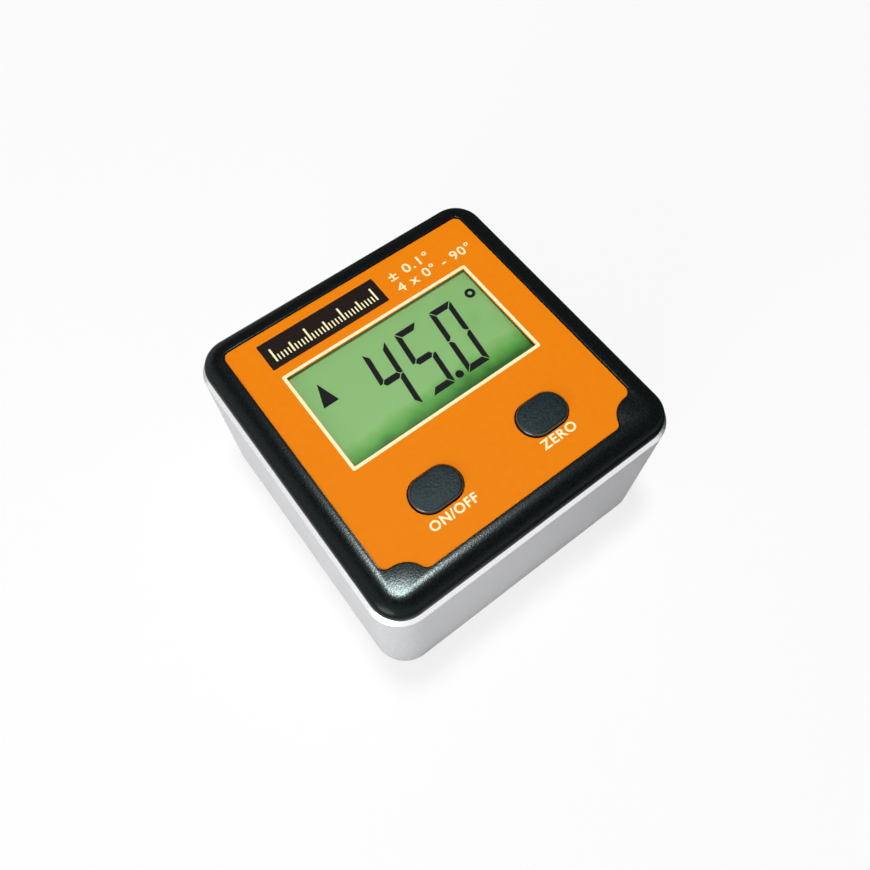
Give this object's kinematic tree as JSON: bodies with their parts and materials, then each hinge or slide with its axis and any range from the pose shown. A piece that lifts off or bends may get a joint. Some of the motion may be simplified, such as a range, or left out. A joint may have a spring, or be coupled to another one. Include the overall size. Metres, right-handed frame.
{
  "type": "digital angle gauge",
  "caption": "Square digital angle gauge with a satin aluminium frame, a black bezel, an orange face, a reflective display and oval push buttons.",
  "frame": {"origin": "centre of the back edge's plane, on the surface that the gauge lies on", "axes": "+Z out of the display, +Y towards the display's top, +X to its right"},
  "size_m": [0.06, 0.06, 0.0339],
  "materials": {
    "frame_aluminium": "satin, bead blasted",
    "bezel_plastic": "fine textured, semi matt",
    "label_film": "printed film, satin",
    "window_clear": "clear, polished",
    "display_glass": "grey green, satin",
    "reflector_film": "silvered film",
    "white_plastic": "moulded, satin",
    "strip_rubber": "matt",
    "board_laminate": "solder mask, satin",
    "chip_plastic": "moulded, matt",
    "bright_steel": "plated",
    "ceramic": "fired ceramic, matt",
    "button_plastic": "fine textured, matt",
    "switch_plastic": "moulded, matt",
    "cover_plastic": "fine textured, matt",
    "cell_wrap": "shrink wrap",
    "contact_brass": "bright",
    "lead_red": "insulated wire",
    "lead_black": "insulated wire",
    "magnet_nickel": "nickel plated"
  },
  "bodies": {
    "housing": {"body_frame": "frame_aluminium", "front_bezel": "bezel_plastic", "face_label": "label_film", "display_window": "window_clear", "lcd_glass": "display_glass", "lcd_reflector": "reflector_film", "lcd_retainer": "white_plastic", "zebra_strip_upper": "strip_rubber", "zebra_strip_lower": "strip_rubber", "main_board": "board_laminate", "controller_chip": "chip_plastic", "tilt_sensor": "bright_steel", "clock_crystal": "bright_steel", "board_capacitors": "ceramic", "power_switch_base": "switch_plastic", "zero_switch_base": "switch_plastic", "board_screws": "bright_steel", "rear_cover": "cover_plastic", "case_screws": "bright_steel", "battery_cover": "cover_plastic", "battery_cover_screw": "bright_steel", "battery_cell_1": "cell_wrap", "battery_cell_2": "cell_wrap", "battery_contact_positive": "contact_brass", "battery_contact_negative": "bright_steel", "battery_bridge": "bright_steel", "battery_lead_positive": "lead_red", "battery_lead_negative": "lead_black", "base_magnet_1": "magnet_nickel", "base_magnet_2": "magnet_nickel", "base_magnet_3": "magnet_nickel", "base_magnet_4": "magnet_nickel"},
    "power_button_cap": {"power_button": "button_plastic", "power_switch_plunger": "switch_plastic"},
    "zero_button_cap": {"zero_button": "button_plastic", "zero_switch_plunger": "switch_plastic"}
  },
  "joints": [
    {"name": "power_press", "type": "slide", "parent": "housing", "child": "power_button_cap", "axis": [0, 0, -1], "range_m": [0, 0.0005], "stiffness_N_per_m": 600},
    {"name": "zero_press", "type": "slide", "parent": "housing", "child": "zero_button_cap", "axis": [0, 0, -1], "range_m": [0, 0.0005], "stiffness_N_per_m": 600}
  ]
}
